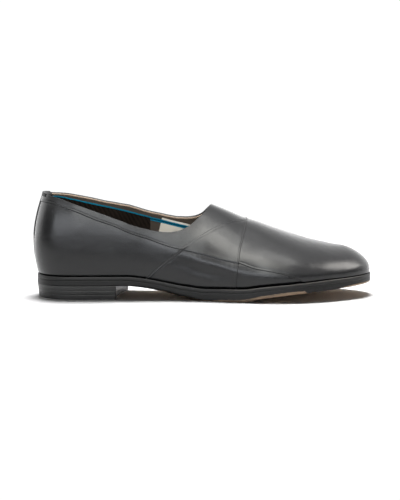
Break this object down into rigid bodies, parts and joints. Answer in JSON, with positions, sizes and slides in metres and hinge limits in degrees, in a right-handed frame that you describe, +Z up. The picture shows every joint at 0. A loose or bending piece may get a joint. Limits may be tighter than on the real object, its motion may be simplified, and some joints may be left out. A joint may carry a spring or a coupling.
{
  "type": "slip-on shoe",
  "caption": "Black leather slip-on dress shoe for the right foot, with an almond toe, slanted side seams, welted sole and low stacked heel.",
  "frame": {"origin": "middle of the shoe's length and width, on the ground under it", "axes": "+X towards the toe, +Z up, -Y towards the outer side of the right foot"},
  "size_m": [0.3008, 0.1022, 0.0934],
  "materials": {
    "upper_leather": "satin polished calf leather, nearly black",
    "lining": "matt taupe lining leather",
    "edge_leather": "inked and waxed sole edge, satin",
    "sole_leather": "plain tan sole leather, matt",
    "heel_rubber": "matt black rubber"
  },
  "bodies": {
    "root": {"upper": "upper_leather", "heel_tab": "upper_leather", "insole": "lining", "welt": "edge_leather", "outsole": "sole_leather", "heel_top_piece": "heel_rubber", "heel_lift_1": "edge_leather", "heel_lift_2": "edge_leather"}
  },
  "joints": []
}
